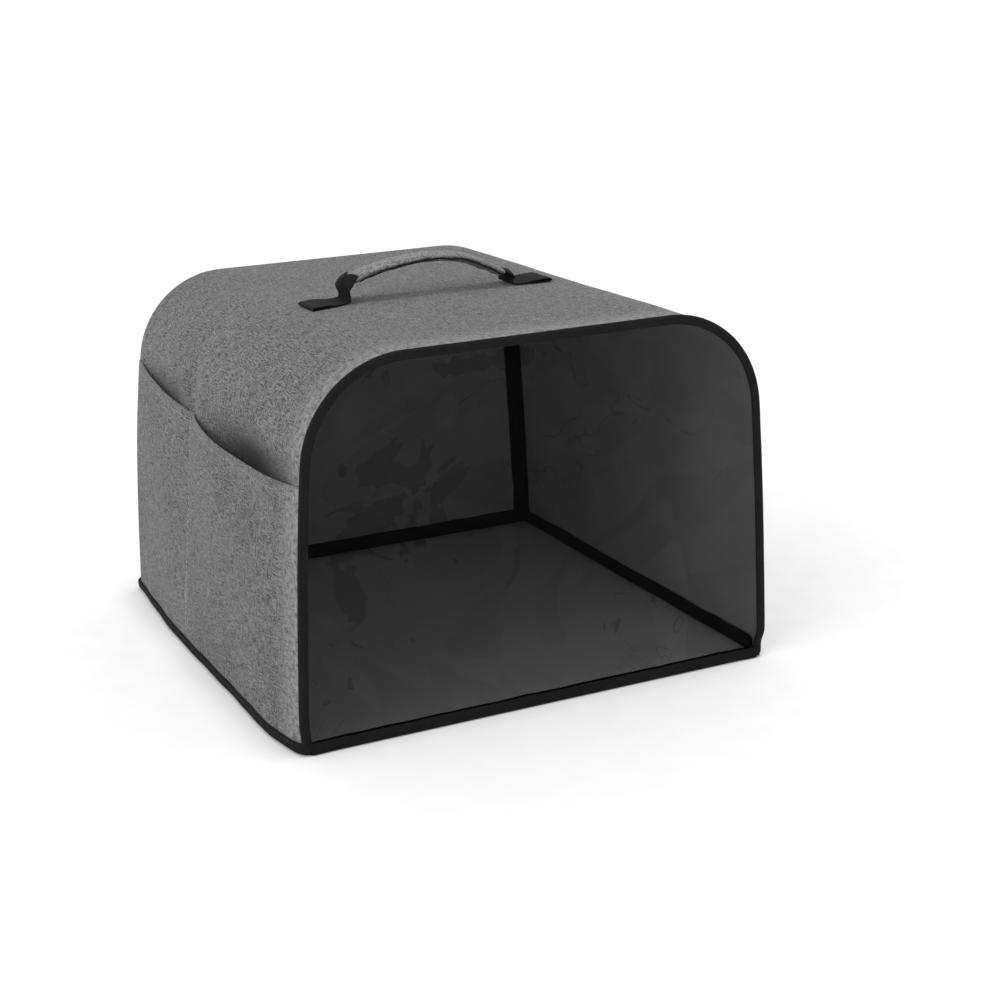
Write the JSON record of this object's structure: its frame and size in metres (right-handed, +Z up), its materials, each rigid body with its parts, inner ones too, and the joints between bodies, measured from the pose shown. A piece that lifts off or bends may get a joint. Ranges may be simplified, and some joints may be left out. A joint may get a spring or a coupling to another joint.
{
  "type": "fabric appliance cover",
  "caption": "Padded fabric cover that is lowered over an appliance, with a smoked window in front, side pockets and a carrying handle on top.",
  "frame": {"origin": "on the floor, in the middle of the hem", "axes": "+Z up, -Y towards the window, +X to the right of someone who faces the window"},
  "size_m": [0.344, 0.36, 0.2777],
  "materials": {
    "outer_fabric": "grey melange weave",
    "lining_fabric": "thin pale lining",
    "foam": "open foam",
    "smoked_film": "smoked clear film",
    "black_tape": "black twill tape",
    "handle_webbing": "black knitted webbing",
    "thread": "sewing thread"
  },
  "bodies": {
    "root": {"shell_outer": "outer_fabric", "shell_foam": "foam", "shell_lining": "lining_fabric", "rear_outer": "outer_fabric", "rear_foam": "foam", "rear_lining": "lining_fabric", "front_window": "smoked_film", "front_binding": "black_tape", "hem_tape_front": "black_tape", "hem_tape_left": "black_tape", "hem_tape_right": "black_tape", "hem_tape_rear": "black_tape", "rear_seam_tape": "black_tape", "pocket_left_front": "outer_fabric", "pocket_left_rear": "outer_fabric", "pocket_right_front": "outer_fabric", "pocket_right_rear": "outer_fabric", "pocket_stitching_left": "thread", "pocket_stitching_right": "thread", "tab_left": "handle_webbing", "tab_right": "handle_webbing", "tab_stitching_left": "thread", "tab_stitching_right": "thread", "backing_patch_left": "lining_fabric", "backing_patch_right": "lining_fabric"},
    "handle": {"grip_sleeve": "outer_fabric", "grip_core": "foam", "handle_webbing": "handle_webbing", "loop_left": "handle_webbing", "loop_right": "handle_webbing"}
  },
  "joints": [
    {"name": "handle_swing", "type": "hinge", "parent": "root", "child": "handle", "pos_m": [0, -0.007, 0.26], "axis": [1, 0, 0], "range_deg": [-85, 85], "stiffness_Nm_per_rad": 0.02}
  ]
}
